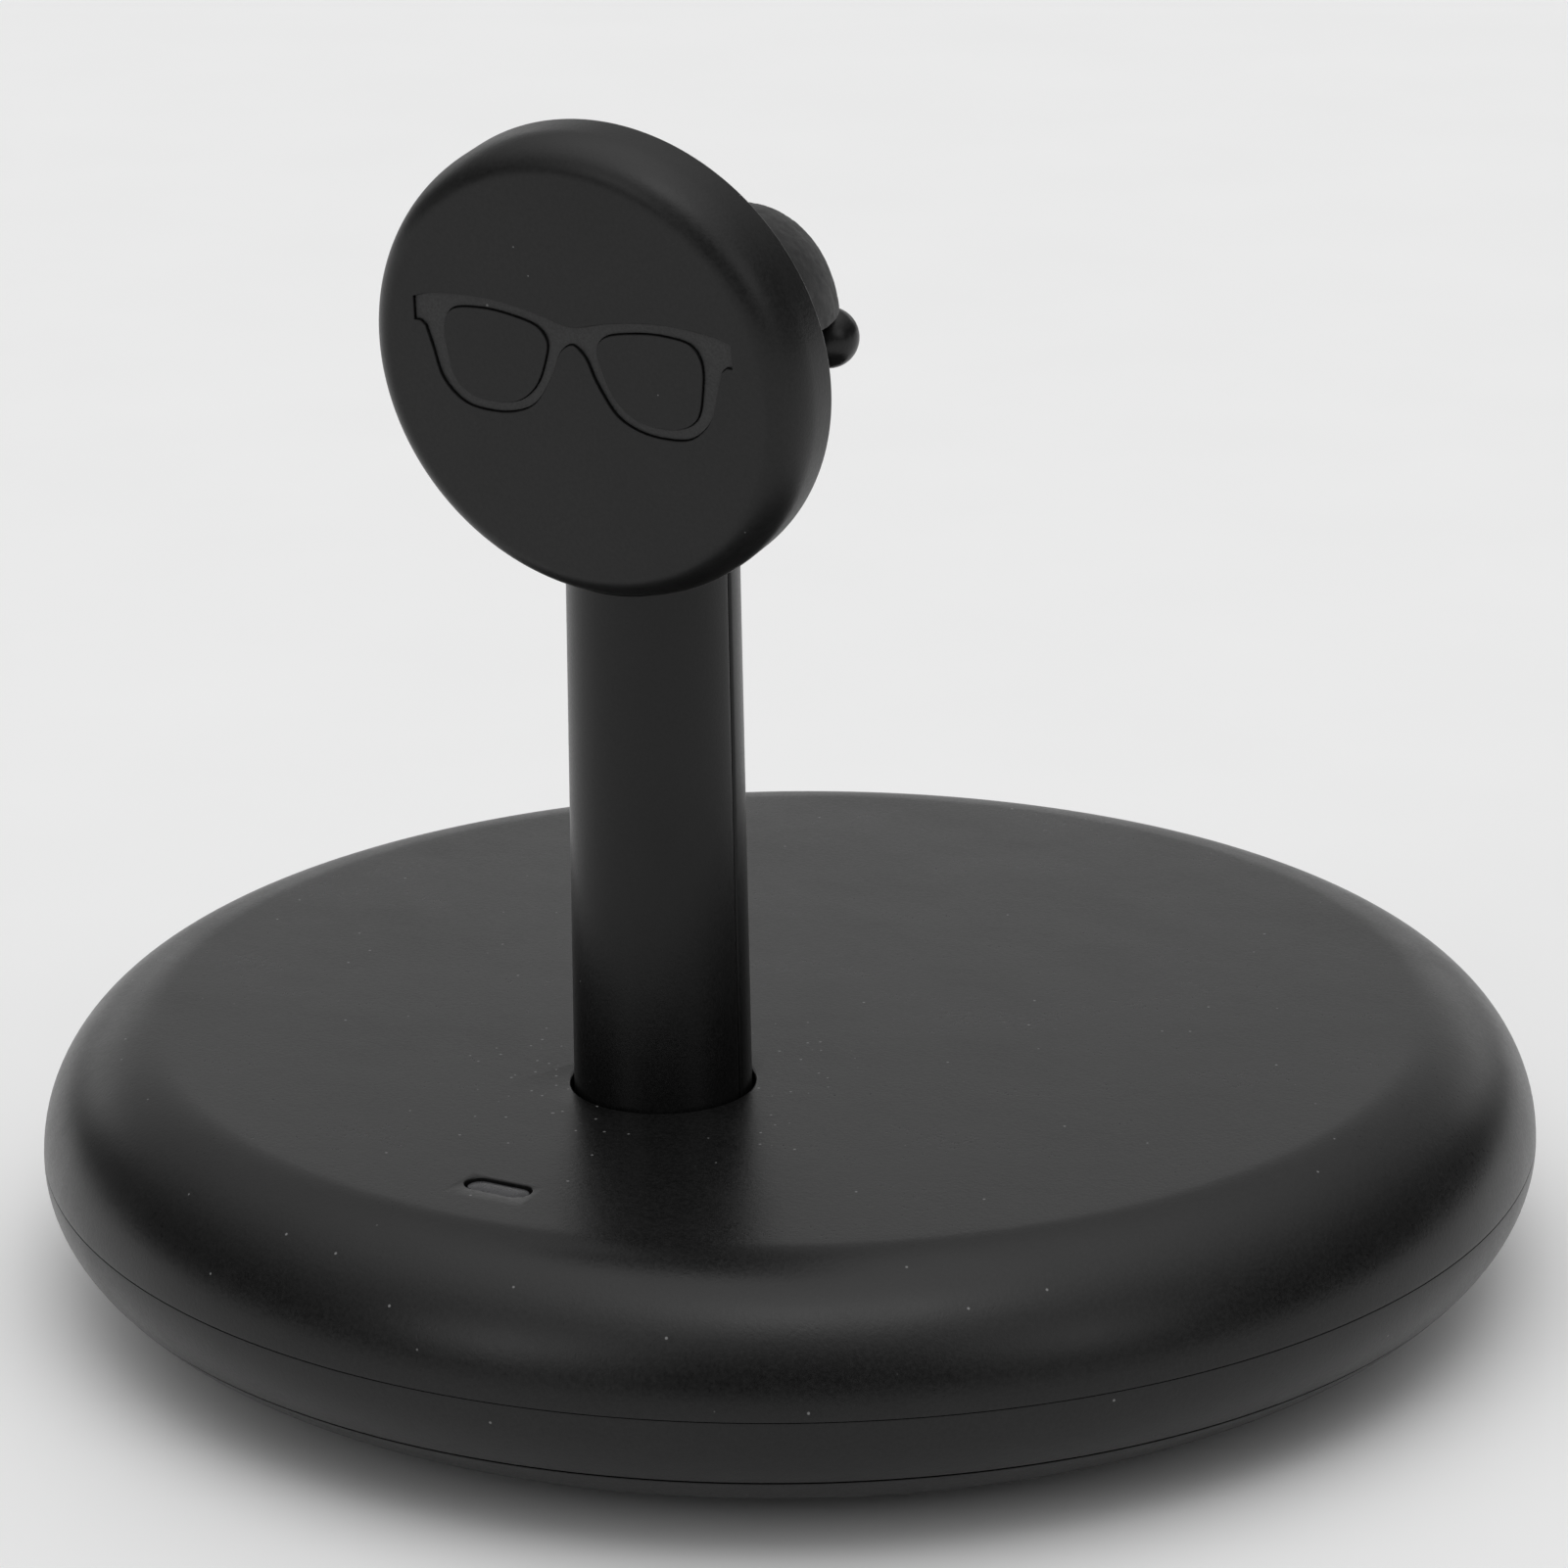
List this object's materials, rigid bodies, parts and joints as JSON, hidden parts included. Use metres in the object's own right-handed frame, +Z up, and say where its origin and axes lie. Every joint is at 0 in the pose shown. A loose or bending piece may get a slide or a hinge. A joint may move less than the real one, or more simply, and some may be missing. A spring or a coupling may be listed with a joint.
{
  "type": "spectacles charging stand",
  "caption": "Desk stand for smart spectacles: weighted round base, upright column, tilted round head with a nose-shaped rest and spring contacts behind.",
  "frame": {"origin": "centre of the round base on the desk surface, under the foot ring", "axes": "+Z up along the column, -Y towards the front, where the head's emblem and the lamp window face"},
  "size_m": [0.1, 0.1, 0.0825],
  "materials": {
    "shell_plastic": "fine-textured satin black",
    "head_plastic": "fine-textured satin black",
    "emblem_plastic": "smoother satin black",
    "soft_pad": "soft matt black with a fine leathery grain",
    "foot_rubber": "matt black",
    "steel": "plated",
    "ballast": "zinc plated",
    "board": "green solder mask",
    "inlet_shell": "plated",
    "lamp_lens": "smoked and polished",
    "lamp": "pale",
    "bracket_plastic": "plain",
    "cable": "sleeved",
    "contact_metal": "gold plated"
  },
  "bodies": {
    "stand": {"base_top_shell": "shell_plastic", "base_lower_shell": "shell_plastic", "bottom_cover": "shell_plastic", "column_front_shell": "shell_plastic", "column_rear_shell": "shell_plastic", "nose_arm": "shell_plastic", "nose_tip": "shell_plastic", "head_front_cup": "head_plastic", "head_rear_plate": "head_plastic", "glasses_emblem": "emblem_plastic", "nose_pad": "soft_pad", "foot_ring": "foot_rubber", "column_spine": "steel", "base_screw_1": "steel", "base_screw_2": "steel", "base_screw_3": "steel", "base_screw_4": "steel", "socket_screw_1": "steel", "socket_screw_2": "steel", "board_screw_1": "steel", "board_screw_2": "steel", "head_screw_1": "steel", "head_screw_2": "steel", "collar_screw_1": "steel", "collar_screw_2": "steel", "ballast_plate": "ballast", "main_board": "board", "lamp_board": "board", "power_inlet": "inlet_shell", "light_pipe": "lamp_lens", "lamp_chip": "lamp", "column_socket": "bracket_plastic", "contact_housing": "bracket_plastic", "wire_harness": "cable"},
    "left_contact": {"contact_pin_1": "contact_metal"},
    "right_contact": {"contact_pin_2": "contact_metal"}
  },
  "joints": [
    {"name": "left_contact_press", "type": "slide", "parent": "stand", "child": "left_contact", "axis": [0, -0.8192, -0.5736], "range_m": [0, 0.0006], "stiffness_N_per_m": 120, "springref_m": -0.0008},
    {"name": "right_contact_press", "type": "slide", "parent": "stand", "child": "right_contact", "axis": [0, -0.8192, -0.5736], "range_m": [0, 0.0006], "stiffness_N_per_m": 120, "springref_m": -0.0008}
  ]
}
